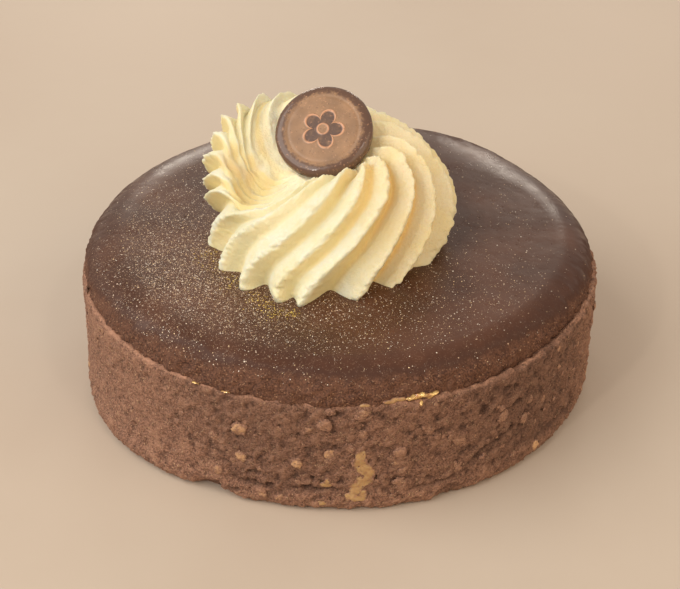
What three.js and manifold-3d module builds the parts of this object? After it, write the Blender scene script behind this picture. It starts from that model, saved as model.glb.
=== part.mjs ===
import * as THREE from "three";
import { ParametricGeometry } from "three/addons/geometries/ParametricGeometry.js";
import { mergeVertices } from "three/addons/utils/BufferGeometryUtils.js";
import Module from "manifold-3d";

// Chocolate tart: a straight-sided cocoa crust, a domed chocolate glaze, a piped cream swirl
// and a chocolate disc that leans in the swirl. Sizes in millimetres, +Z up, foot at z = 0.

const degree = Math.PI / 180;

// Smooth rise round one direction: size, direction and half width in degrees.
function lift(azimuth, size, direction, width) {
  const away = THREE.MathUtils.euclideanModulo(azimuth - direction + 180, 360) - 180;
  return size * Math.exp(-((away / width) ** 2));
}

// A value that differs round the tart: a mean and any number of rises.
function around(mean, ...rises) {
  return (azimuth) => rises.reduce((sum, rise) => sum + lift(azimuth, ...rise), mean);
}

// Crust
const tartRadius = 45;
const crustHeight = 20.6;
const footFlatRadius = 43.2;
const footChamfer = { width: 0.4, height: 0.6 };
const wallFoot = 1.7;
const wallTop = 19.8;
const rimWidth = 1.1;
const rimCrest = { inset: 0.75, lift: 0.25 };
const rimShoulder = { inset: 0.35, drop: 0.1 };
const rimRise = around(0.1, [3.5, 61, 28], [2.1, 125, 40]);
const reliefReach = 0.5;
const crustSegments = 144;
const wallRows = 9;
// Slow waves of the wall: size, waves in one turn, phase and lean with height.
const wallWaves = [[0.2, 2, 0.6, 0], [0.14, 5, 1.9, 0], [0.1, 9, 0, -0.35]];
const nuggetCount = 34;
const nuggetRadius = 1.5;
const nuggetHeight = 0.55;
const pitEvery = 4;
const pitShare = 0.7;
const chipCount = 7;
const firstChip = -117;
const chipDepth = 1.1;
const chipWidth = 2.4;
const chipHeight = 2.2;

// Glaze
const glazeRadius = 43.6;
const glazeTop = 25.8;
const glazeEdge = 0.1;
const rimFollow = 0.9;
const shoulderWidth = around(6, [1.6, 60, 45], [0.8, 140, 40]);
const glazeSegments = 96;
const shoulderRows = 7;

// Cream swirl: the direction of each ridge's foot, then how the ridges wind up to the middle
const ridgeFeet = [
  -58, -30, -12, 6, 24, 42, 60, 78, 92, 105, 115, 124, 135, 147, 158, 191, 214, 233, 251, 259.5, 283,
];
const creamCentre = new THREE.Vector2(-2, -1.5);
const creamMiddle = 13.5;
const swirlTurn = 104;
const swirlBend = 1.05;
const swirlHook = 70;
const hookFrom = 0.5;
const hookBend = 1.3;
const ridgeSteps = 6;
const profileRows = 20;
const ridgeDepth = 1.35;
const usualGap = 15;
const crestShare = 0.85;
const crestRound = 0.245;
const leastHeight = 0.02;

// Chocolate disc
const discRadius = 8.4;
const discThickness = 2.7;
const discCrown = 0.1;
const discCentre = new THREE.Vector3(-3.1, 0.6, 45.1);
const discNormal = new THREE.Vector3(-0.16, -0.6, 0.78).normalize();
const discSegments = 60;
const discGap = 0.3;
const seatReach = 9;

// Repeatable random numbers from 0 to 1.
function seededRandom(seed) {
  let state = seed;
  return () => {
    state = (Math.imul(state, 1664525) + 1013904223) >>> 0;
    return state / 4294967296;
  };
}

// Closed mesh with shared corners and no zero-area triangles.
function closed(geometry) {
  geometry.deleteAttribute("normal");
  geometry.deleteAttribute("uv");
  const merged = mergeVertices(geometry, 1e-4);
  const corners = merged.index.array;
  const kept = [];
  for (let i = 0; i < corners.length; i += 3) {
    const [a, b, c] = [corners[i], corners[i + 1], corners[i + 2]];
    if (a !== b && b !== c && c !== a) {
      kept.push(a, b, c);
    }
  }
  merged.setIndex(kept);
  return merged;
}

// Round body about +Z from its outline, given as radius and height.
function turned(outline, segments) {
  const points = outline.map(([radius, height]) => new THREE.Vector2(radius, height));
  return closed(new THREE.LatheGeometry(points, segments).rotateX(Math.PI / 2));
}

// Baked relief of the crust's wall: slow waves, nuggets that stand out and pits between them.
function crustRelief() {
  const random = seededRandom(11);
  const bumps = [];
  for (let i = 0; i < nuggetCount; i += 1) {
    const sign = i % pitEvery === pitEvery - 1 ? -pitShare : 1;
    bumps.push({
      azimuth: (360 * (i + 0.8 * random())) / nuggetCount,
      height: crustHeight * (0.12 + 0.78 * random()),
      size: nuggetRadius * (0.7 + 0.7 * random()),
      rise: sign * nuggetHeight * (0.6 + 0.8 * random()),
    });
  }
  const chips = [];
  for (let i = 0; i < chipCount; i += 1) {
    const shift = i === 0 ? 0 : 0.5 * random();
    chips.push({ azimuth: firstChip + (360 * (i + shift)) / chipCount, size: 0.6 + 0.6 * random() });
  }
  return (azimuth, height) => {
    const turn = azimuth * degree;
    let rise = 0;
    for (const [size, waves, phase, lean] of wallWaves) {
      rise += size * Math.sin(waves * turn + phase + lean * height);
    }
    for (const bump of bumps) {
      const side = THREE.MathUtils.euclideanModulo(azimuth - bump.azimuth + 180, 360) - 180;
      const away = (side * degree * tartRadius) ** 2 + (height - bump.height) ** 2;
      rise += bump.rise * Math.exp(-away / (2 * bump.size ** 2));
    }
    for (const chip of chips) {
      const width = chipWidth / (tartRadius * degree);
      const low = Math.exp(-((height / chipHeight) ** 2));
      rise -= low * lift(azimuth, chipDepth * chip.size, chip.azimuth, width);
    }
    return rise;
  };
}

// Crust: solid drum with a flat foot, a rough wall and a narrow uneven rim.
function makeCrust() {
  const outline = [[0, 0], [footFlatRadius, 0], [tartRadius - footChamfer.width, footChamfer.height]];
  for (let i = 0; i <= wallRows; i += 1) {
    outline.push([tartRadius, wallFoot + ((wallTop - wallFoot) * i) / wallRows]);
  }
  outline.push(
    [tartRadius - rimShoulder.inset, crustHeight - rimShoulder.drop],
    [tartRadius - rimCrest.inset, crustHeight + rimCrest.lift],
    [tartRadius - rimWidth, crustHeight],
    [0, crustHeight],
  );
  const geometry = turned(outline, crustSegments);
  const place = geometry.attributes.position;
  const relief = crustRelief();
  for (let i = 0; i < place.count; i += 1) {
    const radius = Math.hypot(place.getX(i), place.getY(i));
    const height = place.getZ(i);
    const azimuth = Math.atan2(place.getY(i), place.getX(i)) / degree;
    if (radius > tartRadius - reliefReach) {
      const scale = 1 + relief(azimuth, height) / radius;
      place.setXY(i, place.getX(i) * scale, place.getY(i) * scale);
    }
    if (radius > tartRadius - (rimWidth + rimCrest.inset) / 2) {
      place.setZ(i, height + (rimRise(azimuth) * height) / crustHeight);
    }
  }
  return geometry;
}

// Glaze: underside, rounded shoulder down to the crust's rim, and flat middle.
const glazeRows = shoulderRows + 3;

function glazePoint(around01, along, target) {
  const row = Math.round(along * glazeRows);
  const azimuth = 360 * around01;
  const bend = (90 * degree * THREE.MathUtils.clamp(row - 2, 0, shoulderRows)) / shoulderRows;
  const low = crustHeight + glazeEdge + rimFollow * rimRise(azimuth);
  const onAxis = row === 0 || row === glazeRows;
  const radius = onAxis ? 0 : glazeRadius - shoulderWidth(azimuth) * (1 - Math.cos(bend));
  const height = row < 2 ? crustHeight : low + (glazeTop - low) * Math.sin(bend);
  target.set(radius * Math.cos(azimuth * degree), radius * Math.sin(azimuth * degree), height);
}

function makeGlaze() {
  return closed(new ParametricGeometry(glazePoint, glazeSegments, glazeRows));
}

// The swirl's section from foot to middle, as radius and height in each direction.
const swirlSection = [
  {
    radius: around(18.7, [3.6, 243, 42], [0.6, 30, 40], [-1, 150, 35], [0.8, 187, 20]),
    height: around(0),
  },
  {
    radius: around(20.2, [-1.5, 305, 35], [1.2, 20, 40], [3, 146, 24], [-1.5, 205, 28]),
    height: around(5.4, [3.6, 112, 70]),
  },
  {
    radius: around(17.5, [-2.2, 282, 52], [0.9, 162, 30]),
    height: around(13, [6.4, 142, 46], [1.2, 50, 40], [-3.8, 207, 38]),
  },
  {
    radius: around(11.7, [1.5, 145, 50], [-1.7, 283, 48]),
    height: around(17, [3.6, 112, 55], [-8.2, 200, 42]),
  },
  {
    radius: around(5.4, [0.6, 145, 50], [-0.4, 275, 50]),
    height: around(14.6, [3, 75, 40], [-2, 185, 45]),
  },
  {
    radius: around(0),
    height: around(creamMiddle),
  },
];
// How deep the ridges are: at the foot, above it, and flatter in the hollow on the left.
const footStrength = around(0.7, [0.9, 262, 48]);
const ridgeStrength = around(0.92, [0.12, 310, 35], [-0.5, 236, 38], [-0.12, 70, 50], [0.45, 168, 24]);
const flattened = around(0, [-0.85, 155, 50], [-0.3, 225, 35]);
const ridgeFade = new THREE.SplineCurve(
  [1, 1.1, 1.05, 0.85, 0.4, 0].map((size, i, sizes) => new THREE.Vector2(i / (sizes.length - 1), size)),
);

// Height across one ridge: rounded crest at 0 and 1, wide valley between.
function ridgeWave(across, gap) {
  const fall = Math.hypot(Math.sin(Math.PI * across), crestRound) - crestRound;
  const deepest = Math.hypot(1, crestRound) - crestRound;
  return crestShare - (2 * fall * THREE.MathUtils.clamp(gap / usualGap, 0.6, 1.1)) / deepest;
}

function creamPoint(around01, along, target) {
  const row = along * (profileRows + 1);
  const s = Math.max(0, (row - 1) / profileRows);
  const count = around01 * ridgeFeet.length;
  const ridge = Math.floor(count) % ridgeFeet.length;
  const across = count - Math.floor(count);
  const next = ridge + 1 < ridgeFeet.length ? ridgeFeet[ridge + 1] : ridgeFeet[0] + 360;
  const gap = next - ridgeFeet[ridge];
  const foot = ridgeFeet[ridge] + gap * across;
  const azimuth = foot + swirlTurn * s ** swirlBend + swirlHook * Math.max(0, s - hookFrom) ** hookBend;
  const section = new THREE.SplineCurve(
    swirlSection.map((ring) => new THREE.Vector2(ring.radius(azimuth), ring.height(azimuth))),
  );
  const point = section.getPoint(s);
  const slope = section.getTangent(Math.min(s, 0.999));
  const above = THREE.MathUtils.smoothstep(s, 0, 0.3);
  const hollow = 1 + flattened(azimuth) * THREE.MathUtils.smoothstep(s, 0.32, 0.46);
  const strength = THREE.MathUtils.lerp(footStrength(foot), ridgeStrength(azimuth), above) * hollow;
  const out = ridgeDepth * strength * ridgeFade.getPoint(s).y * ridgeWave(across, gap);
  let radius = s >= 1 ? 0 : point.x + slope.y * out;
  let height = s >= 1 || s === 0 ? point.y : Math.max(leastHeight, point.y - slope.x * out);
  if (row < 1) {
    radius = 0;
    height = 0;
  }
  const turn = azimuth * degree;
  target.set(
    creamCentre.x + radius * Math.cos(turn),
    creamCentre.y + radius * Math.sin(turn),
    glazeTop + height,
  );
}

// Disc outline with rounded edges, grown by a gap; the top can be drawn up along the axis.
function discBody(gap, up) {
  const radius = discRadius + gap;
  const low = -discThickness - gap;
  const outline = [[0, low], [radius - 1.3, low], [radius - 0.45, low + 0.5], [radius - 0.05, low + 1.1]];
  if (up > 0) {
    outline.push([radius, -0.9], [radius, up], [0, up]);
  } else {
    outline.push([radius, -1.2], [radius - 0.25, -0.6], [radius - 0.8, -0.2], [radius - 1.7, 0]);
    outline.push([0, discCrown]);
  }
  const body = turned(outline, discSegments);
  const lean = new THREE.Quaternion().setFromUnitVectors(new THREE.Vector3(0, 0, 1), discNormal);
  return body.applyQuaternion(lean).translate(discCentre.x, discCentre.y, discCentre.z);
}

const wasm = await Module();
wasm.setup();

function toSolid(geometry) {
  return new wasm.Manifold(new wasm.Mesh({
    numProp: 3,
    vertProperties: new Float32Array(geometry.attributes.position.array),
    triVerts: new Uint32Array(geometry.index.array),
  }));
}

function toGeometry(solid) {
  const mesh = solid.getMesh();
  const geometry = new THREE.BufferGeometry();
  geometry.setAttribute("position", new THREE.BufferAttribute(new Float32Array(mesh.vertProperties), 3));
  geometry.setIndex(Array.from(mesh.triVerts));
  return geometry;
}

// Cream: the swirl with a seat for the disc.
function makeCream() {
  const swirl = closed(new ParametricGeometry(creamPoint, ridgeFeet.length * ridgeSteps, profileRows + 1));
  return toGeometry(toSolid(swirl).subtract(toSolid(discBody(discGap, seatReach))));
}

function addPiece(group, name, geometry, color, roughness) {
  geometry.computeVertexNormals();
  const material = new THREE.MeshStandardMaterial({ color, roughness, metalness: 0, flatShading: true });
  const mesh = new THREE.Mesh(geometry, material);
  mesh.name = name;
  group.add(mesh);
}

const tart = new THREE.Group();
tart.name = "chocolate_tart";
addPiece(tart, "crust", makeCrust(), 0x8c624c, 0.85);
addPiece(tart, "glaze", makeGlaze(), 0x694c3e, 0.4);
addPiece(tart, "cream", makeCream(), 0xeed8a5, 0.6);
addPiece(tart, "disc", discBody(0, 0), 0xa0785c, 0.4);

export default tart;
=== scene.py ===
import math
import random
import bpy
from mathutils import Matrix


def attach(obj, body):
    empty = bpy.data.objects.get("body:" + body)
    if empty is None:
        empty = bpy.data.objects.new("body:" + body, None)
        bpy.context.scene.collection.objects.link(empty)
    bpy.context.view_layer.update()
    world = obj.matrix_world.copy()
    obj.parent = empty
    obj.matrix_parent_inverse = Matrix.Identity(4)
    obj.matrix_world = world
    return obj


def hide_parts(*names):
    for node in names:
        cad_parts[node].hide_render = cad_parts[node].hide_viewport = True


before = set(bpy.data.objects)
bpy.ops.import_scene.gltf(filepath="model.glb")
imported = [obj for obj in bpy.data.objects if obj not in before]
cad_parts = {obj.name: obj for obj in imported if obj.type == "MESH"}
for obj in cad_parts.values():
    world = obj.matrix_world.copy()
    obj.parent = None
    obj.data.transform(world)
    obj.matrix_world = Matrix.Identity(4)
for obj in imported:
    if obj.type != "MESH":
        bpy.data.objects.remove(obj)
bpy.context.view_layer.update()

from types import SimpleNamespace

import bpy
import numpy as np
from mathutils import Matrix, Vector, noise

# Chocolate tart, dressed over its solids. Sizes are in millimetres and directions in degrees round +Z.
mm = 0.001
# a radius clear of the tart
outside = 60
# how far the noise is moved on for each seed
seedStep = (7.3, 3.1, 5.7)


# working helpers

def deselectAll():
    if bpy.context.object and bpy.context.object.mode != "OBJECT":
        bpy.ops.object.mode_set(mode="OBJECT")
    bpy.ops.object.select_all(action="DESELECT")


def makeActive(piece):
    deselectAll()
    piece.select_set(True)
    bpy.context.view_layer.objects.active = piece


def applyModifier(piece, kind, **settings):
    makeActive(piece)
    modifier = piece.modifiers.new(kind.lower(), kind)
    for key, value in settings.items():
        setattr(modifier, key, value)
    bpy.ops.object.modifier_apply(modifier=modifier.name)


def closeUp(piece, gap=0.004):
    makeActive(piece)
    bpy.ops.object.mode_set(mode="EDIT")
    bpy.ops.mesh.select_all(action="SELECT")
    bpy.ops.mesh.remove_doubles(threshold=gap * mm)
    bpy.ops.mesh.dissolve_degenerate(threshold=gap * mm)
    bpy.ops.mesh.normals_make_consistent(inside=False)
    bpy.ops.object.mode_set(mode="OBJECT")
    bpy.ops.object.shade_smooth()


def spinSection(name, section, steps):
    # one point is drawn along the section, and a Screw modifier turns it round the upright axis
    deselectAll()
    bpy.ops.mesh.primitive_plane_add(size=mm)
    piece = bpy.context.object
    piece.name = piece.data.name = name
    bpy.ops.object.mode_set(mode="EDIT")
    bpy.ops.mesh.select_all(action="SELECT")
    bpy.ops.mesh.merge(type="CENTER")
    startRadius, startHeight = section[0]
    bpy.ops.transform.translate(value=(startRadius * mm, 0, startHeight * mm))
    for (radius, height), (nextRadius, nextHeight) in zip(section, section[1:]):
        step = ((nextRadius - radius) * mm, 0, (nextHeight - height) * mm)
        bpy.ops.mesh.extrude_region_move(TRANSFORM_OT_translate={"value": step})
    bpy.ops.object.mode_set(mode="OBJECT")
    applyModifier(piece, "SCREW", axis="Z", angle=2 * math.pi, steps=steps, render_steps=steps)
    closeUp(piece)
    return piece


def readPoints(piece):
    flat = np.empty(len(piece.data.vertices) * 3)
    piece.data.vertices.foreach_get("co", flat)
    return flat.reshape(-1, 3) / mm


def writePoints(piece, points):
    piece.data.vertices.foreach_set("co", (points * mm).ravel())
    piece.data.update()


def addMask(piece, name, values):
    mask = piece.data.attributes.new(name, "FLOAT", "POINT")
    mask.data.foreach_set("value", np.asarray(values, np.float32))


def flatOf(points):
    # distance from the upright axis
    return np.hypot(points[:, 0], points[:, 1])


def azimuthOf(points):
    return np.degrees(np.arctan2(points[:, 1], points[:, 0]))


def wrapped(angle):
    return (angle + 180) % 360 - 180


def lift(azimuth, size, direction, width):
    return size * np.exp(-(wrapped(azimuth - direction) / width) ** 2)


def around(azimuth, mean, *rises):
    return mean + sum(lift(azimuth, *rise) for rise in rises)


def ramp(values, low, high):
    share = np.clip((np.asarray(values) - low) / (high - low), 0, 1)
    return share * share * (3 - 2 * share)


def softNoise(points, size, seed):
    shift = Vector([step * seed for step in seedStep])
    return np.array([noise.noise(Vector(point) / size + shift) for point in points])


def layeredNoise(points, layers):
    # each layer is a strength, a size and a seed
    return sum(strength * softNoise(points, size, seed) for strength, size, seed in layers)


def pickWithin(pick, ranges):
    return [pick.uniform(low, high) for low, high in ranges]


def pickSize(pick, look):
    # between a look's smallest and largest, and the higher its power the more of them are small
    return look.smallest + (look.largest - look.smallest) * pick.random() ** look.power


def widen(points, factor):
    points[:, :2] *= factor[:, None]


def sideways(azimuth, direction):
    # distance along the wall from a direction
    return np.radians(wrapped(azimuth - direction)) * crust.radius


def onWall(azimuth, radius, height):
    turn = math.radians(azimuth)
    return Vector((radius * math.cos(turn), radius * math.sin(turn), height))


def castOn(piece, start, direction):
    # where a straight line meets a finished piece, in millimetres, with the surface's normal
    hit, place, normal, _ = piece.ray_cast(Vector(start) * mm, Vector(direction))
    return (place / mm, normal) if hit else (None, None)


def castIn(carriers, azimuth, height):
    # the way out at an azimuth, and where a level line from outside first meets one of the pieces
    out = onWall(azimuth, 1, 0)
    hits = [castOn(carrier, out * outside + Vector((0, 0, height)), -out)[0] for carrier in carriers]
    return out, max((hit for hit in hits if hit), key=lambda hit: hit.xy.length, default=None)


def wallAxes(out):
    # along, out of and up the wall, as columns
    return Matrix((Vector((-out.y, out.x, 0)), out, Vector((0, 0, 1)))).transposed()


def shapeOf(addPrimitive, **settings):
    # points and faces of a primitive that is copied many times
    deselectAll()
    addPrimitive(**settings)
    shape = bpy.context.object
    points = readPoints(shape) * mm
    faces = np.array([face.vertices[:] for face in shape.data.polygons])
    bpy.data.objects.remove(shape)
    return points, faces


def joinCopies(name, copies):
    # copies holds points, faces and a tone for each small thing; all become one mesh
    points = np.concatenate([copy[0] for copy in copies])
    tones = np.concatenate([np.broadcast_to(copy[2], len(copy[0])) for copy in copies])
    faces = []
    start = 0
    for copyPoints, copyFaces, _ in copies:
        faces += (copyFaces + start).tolist()
        start += len(copyPoints)
    mesh = bpy.data.meshes.new(name)
    mesh.from_pydata((points * mm).tolist(), [], faces)
    piece = bpy.data.objects.new(name, mesh)
    bpy.context.scene.collection.objects.link(piece)
    addMask(piece, "tone", tones)
    makeActive(piece)
    bpy.ops.object.shade_smooth()
    return piece


def dress(piece, material, node=None):
    piece.data.materials.clear()
    piece.data.materials.append(material)
    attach(piece, "root")
    if node:
        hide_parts(node)
    piece.data.calc_loop_triangles()
    print("made", piece.name, "with", len(piece.data.loop_triangles), "triangles")
    return piece


# shading helpers

def colour(red, green, blue):
    # a colour as a screen shows it, 0 to 255, as shader values
    shares = (value / 255 for value in (red, green, blue))
    linear = (share / 12.92 if share < 0.04045 else ((share + 0.055) / 1.055) ** 2.4 for share in shares)
    return (*linear, 1)


def addNode(tree, kind, links=None, **settings):
    node = tree.nodes.new("ShaderNode" + kind)
    for key, value in settings.items():
        setattr(node, key, value)
    for socket, value in (links or {}).items():
        if isinstance(value, bpy.types.NodeSocket):
            tree.links.new(value, node.inputs[socket])
        else:
            node.inputs[socket].default_value = value
    return node


def mixColours(tree, share, first, second):
    node = addNode(tree, "Mix", {0: share, 6: first, 7: second}, data_type="RGBA")
    return node.outputs[2]


def mixValues(tree, share, first, second):
    node = addNode(tree, "Mix", {0: share, 2: first, 3: second}, data_type="FLOAT")
    return node.outputs[0]


def calculate(tree, operation, first, second=0.0):
    return addNode(tree, "Math", {0: first, 1: second}, operation=operation).outputs[0]


def rescale(tree, value, low, high, toLow=0.0, toHigh=1.0):
    links = {"Value": value, 1: low, 2: high, 3: toLow, 4: toHigh}
    return addNode(tree, "MapRange", links, interpolation_type="SMOOTHSTEP").outputs[0]


def tint(tree, base, mask, most, second):
    # lays a second colour over the base where a mask is, at most this much
    return mixColours(tree, calculate(tree, "MULTIPLY", mask, most), base, second)


def blendIn(tree, base, value, low, high, second, most=1.0):
    # lays a second colour over the base as a value goes from low to high
    return mixColours(tree, rescale(tree, value, low, high, 0.0, most), base, second)


def coatOver(tree, base, *coats):
    # lays coats over one another: each a mask, a most and a colour for tint, or what blendIn takes
    for coat in coats:
        base = tint(tree, base, *coat) if len(coat) == 3 else blendIn(tree, base, *coat)
    return base


def cloudNoise(tree, vector, size, detail=4.0, roughness=0.55):
    links = {"Vector": vector, "Scale": 1 / (size * mm), "Detail": detail, "Roughness": roughness}
    return addNode(tree, "TexNoise", links).outputs[0]


def maskOf(tree, name):
    return addNode(tree, "Attribute", attribute_name=name, attribute_type="GEOMETRY").outputs["Fac"]


def unevenMask(tree, name, cloud, reach):
    # a mask whose edges wander with a noise
    return calculate(tree, "ADD", maskOf(tree, name), rescale(tree, cloud, 0.3, 0.7, -reach, reach))


def bumpFrom(tree, height, strength, distance):
    links = {"Strength": strength, "Distance": distance * mm, "Height": height}
    return addNode(tree, "Bump", links).outputs["Normal"]


def newMaterial(name):
    material = bpy.data.materials.new(name)
    material.use_nodes = True
    tree = material.node_tree
    tree.nodes.clear()
    shader = addNode(tree, "BsdfPrincipled")
    addNode(tree, "OutputMaterial", {"Surface": shader.outputs[0]})
    place = addNode(tree, "TexCoord").outputs["Object"]
    return material, tree, shader, place


def setShader(tree, shader, **values):
    for key, value in values.items():
        socket = shader.inputs[key.replace("_", " ")]
        if isinstance(value, bpy.types.NodeSocket):
            tree.links.new(value, socket)
        else:
            socket.default_value = value


def makeGrainGroup():
    # a crumbly or dusty surface: fine grain, scattered light specks, pits that the materials paint dark as
    # shade, mottling and a height
    tree = bpy.data.node_groups.new("bakedGrain", "ShaderNodeTree")
    face = tree.interface
    face.new_socket("Vector", in_out="INPUT", socket_type="NodeSocketVector")
    for name in ("Scale", "Speck Share", "Pit Share"):
        face.new_socket(name, in_out="INPUT", socket_type="NodeSocketFloat")
    for name in ("Grain", "Specks", "Pits", "Mottle", "Height"):
        face.new_socket(name, in_out="OUTPUT", socket_type="NodeSocketFloat")
    entry = tree.nodes.new("NodeGroupInput").outputs
    leave = tree.nodes.new("NodeGroupOutput").inputs
    fine = addNode(tree, "TexNoise", {"Vector": entry["Vector"], "Scale": entry["Scale"], "Detail": 3.0})
    bent = addNode(tree, "VectorMath", {0: fine.outputs["Color"], 1: (0.0006,) * 3}, operation="MULTIPLY")
    moved = addNode(tree, "VectorMath", {0: entry["Vector"], 1: bent.outputs[0]}, operation="ADD")
    cells = addNode(tree, "TexVoronoi", {"Vector": moved.outputs[0], "Scale": entry["Scale"]})
    pick = addNode(tree, "SeparateColor", {"Color": cells.outputs["Color"]})
    core = rescale(tree, cells.outputs["Distance"], 0.25, 0.6, 1.0, 0.0)
    speckFrom = calculate(tree, "SUBTRACT", 1.0, entry["Speck Share"])
    pitFrom = calculate(tree, "SUBTRACT", 1.0, entry["Pit Share"])
    specks = calculate(tree, "GREATER_THAN", pick.outputs["Red"], speckFrom)
    pits = calculate(tree, "GREATER_THAN", pick.outputs["Green"], pitFrom)
    specks = calculate(tree, "MULTIPLY", specks, core)
    pits = calculate(tree, "MULTIPLY", pits, core)
    coarse = calculate(tree, "MULTIPLY", entry["Scale"], 0.45)
    links = {"Vector": entry["Vector"], "Scale": coarse, "Detail": 5.0}
    mottle = addNode(tree, "TexNoise", links).outputs[0]
    height = calculate(tree, "ADD", fine.outputs[0], calculate(tree, "MULTIPLY", specks, 0.5))
    height = calculate(tree, "SUBTRACT", height, calculate(tree, "MULTIPLY", pits, 0.9))
    grain = rescale(tree, fine.outputs[0], 0.36, 0.64)
    results = {"Grain": grain, "Specks": specks, "Pits": pits, "Mottle": mottle, "Height": height}
    for name, value in results.items():
        tree.links.new(value, leave[name])
    return tree


def addGrain(tree, place, size, speckShare, pitShare):
    node = tree.nodes.new("ShaderNodeGroup")
    node.node_tree = grainGroup
    tree.links.new(place, node.inputs["Vector"])
    node.inputs["Scale"].default_value = 1 / (size * mm)
    node.inputs["Speck Share"].default_value = speckShare
    node.inputs["Pit Share"].default_value = pitShare
    return node.outputs


grainGroup = makeGrainGroup()


# crust: a drum of cocoa shortcrust with a rough wall, a chipped foot and an uneven rim

crust = SimpleNamespace(
    radius=45.0,
    height=20.6,
    # radius and height along the underside and foot, and from the rim in to the middle
    footLine=((0, 0), (22, 0), (43.2, 0), (44.0, 0.12), (44.45, 0.45), (44.8, 0.95)),
    rimLine=(
        (44.95, 20.1), (44.8, 20.4), (44.6, 20.62), (44.35, 20.72), (44.1, 20.7), (43.7, 20.5),
        (42.5, 20.3), (22, 20.3), (0, 20.3),
    ),
    wallFrom=1.5,
    wallEnds=2.4,
    rows=54,
    steps=900,
    # size, number of waves and shift of each departure from round
    outOfRound=((0.2, 2, 0.6), (0.14, 5, 1.9)),
    # each a mean, and rises round the tart with a size, a direction and a width
    rimRise=(0.1, (3.5, 61, 28), (2.1, 125, 40)),
    rimRough=(0.28, (0.5, -34, 30)),
    # the rim is laid paler: a paler crumb, with a painted highlight along its edge where it faces the
    # light at the left
    rimPaleAndLit=(0.45, (0.75, 215, 55), (0.9, -40, 34), (0.4, 90, 60)),
    crumbShare=(1.0, (-0.5, 205, 45), (0.8, -45, 50)),
    lip=(0.4, (0.6, -85, 40), (1.5, -138, 22)),
    lipSize=0.3,
    flare=(0, (1.0, -140, 24)),
    # the groove that splits the rim at the right
    split=(1, -34, 30),
    splitRadius=44.48,
    splitWidth=0.2,
    splitDepth=0.4,
    # size and seed, and layers of strength, size and seed
    wobble=(2.2, 3),
    flakes=((1, 2.6, 9), (0.6, 0.9, 10)),
    lumpSize=1.7,
    lumpHeight=1.0,
    crumbSize=0.55,
    crumbHeight=0.48,
    reliefSpan=0.9,
    # radii from which and to which each fades in
    rimFade=(43.0, 44.0),
    crumbFade=(43.6, 44.7),
    riseFade=(43.2, 44.2),
    pushFade=(43.2, 44.8),
    chipFade=(42.0, 44.5),
    pushFrom=43.3,
    # heights from which and to which each fades out
    lipTop=(2.6, 4.2),
    flareTop=(0.5, 12),
    chipTop=(1.2, 3.4),
    # the paler band of painted light along the foot fades out between these heights
    footLightTop=(0.4, 2.4),
    # azimuth, depth and half width
    chips=((-117, 1.5, 2.6), (-66, 0.5, 3.0), (38, 1.0, 2.6), (95, 0.8, 2.4), (160, 1.1, 2.8)),
    # start azimuth and height, end azimuth and height, depth, half width
    cracks=(
        (-112, 3.9, -102, 4.4, 0.7, 0.34), (-102, 4.4, -88.5, 4.6, 0.8, 0.36),
        (-75.9, 3.3, -64, 4.0, 0.9, 0.36), (-59.5, 7.2, -49, 9.6, 0.9, 0.36),
        (-54, 13.2, -47.5, 13.8, 0.6, 0.3), (-100, 14.7, -95, 15.4, 0.4, 0.26),
        (-82, 18.0, -77, 18.5, 0.4, 0.26), (-44, 4.2, -24, 3.2, 0.8, 0.45),
        (-12, 8.0, 6, 9.5, 0.7, 0.34), (30, 12.5, 44, 11.2, 0.6, 0.32), (72, 5.0, 90, 4.2, 0.8, 0.36),
        (118, 14.0, 131, 15.0, 0.5, 0.3), (165, 5.2, 182, 4.2, 0.7, 0.34),
        (205, 11.0, 216, 12.4, 0.5, 0.3),
    ),
    # azimuth, height, depth, half width
    pits=(
        (-58.8, 15.6, 1.0, 0.8), (-53.1, 17.7, 0.7, 0.7), (-59.7, 6.6, 0.7, 0.6), (-45, 17.9, 0.5, 0.6),
        (15, 14.0, 0.8, 0.8), (70, 9.0, 0.8, 0.7), (140, 7.5, 0.7, 0.8), (192, 15.0, 0.6, 0.6),
    ),
    pocks=190,
    pockRange=((-180, 180), (2, 20), (0.3, 0.7), (0.25, 0.5)),
    dark=colour(105, 72, 57),
    middle=colour(156, 114, 91),
    # pale is the crumb's paler tone, and is also laid as painted light on raised crumb and along the foot
    pale=colour(172, 128, 102),
    speck=colour(206, 164, 128),
    # painted shade: the dark laid in pits, cracks and recesses
    pitShade=colour(62, 40, 31),
    # the rim's pale colour, partly a painted highlight
    rim=colour(186, 136, 108),
)


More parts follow.
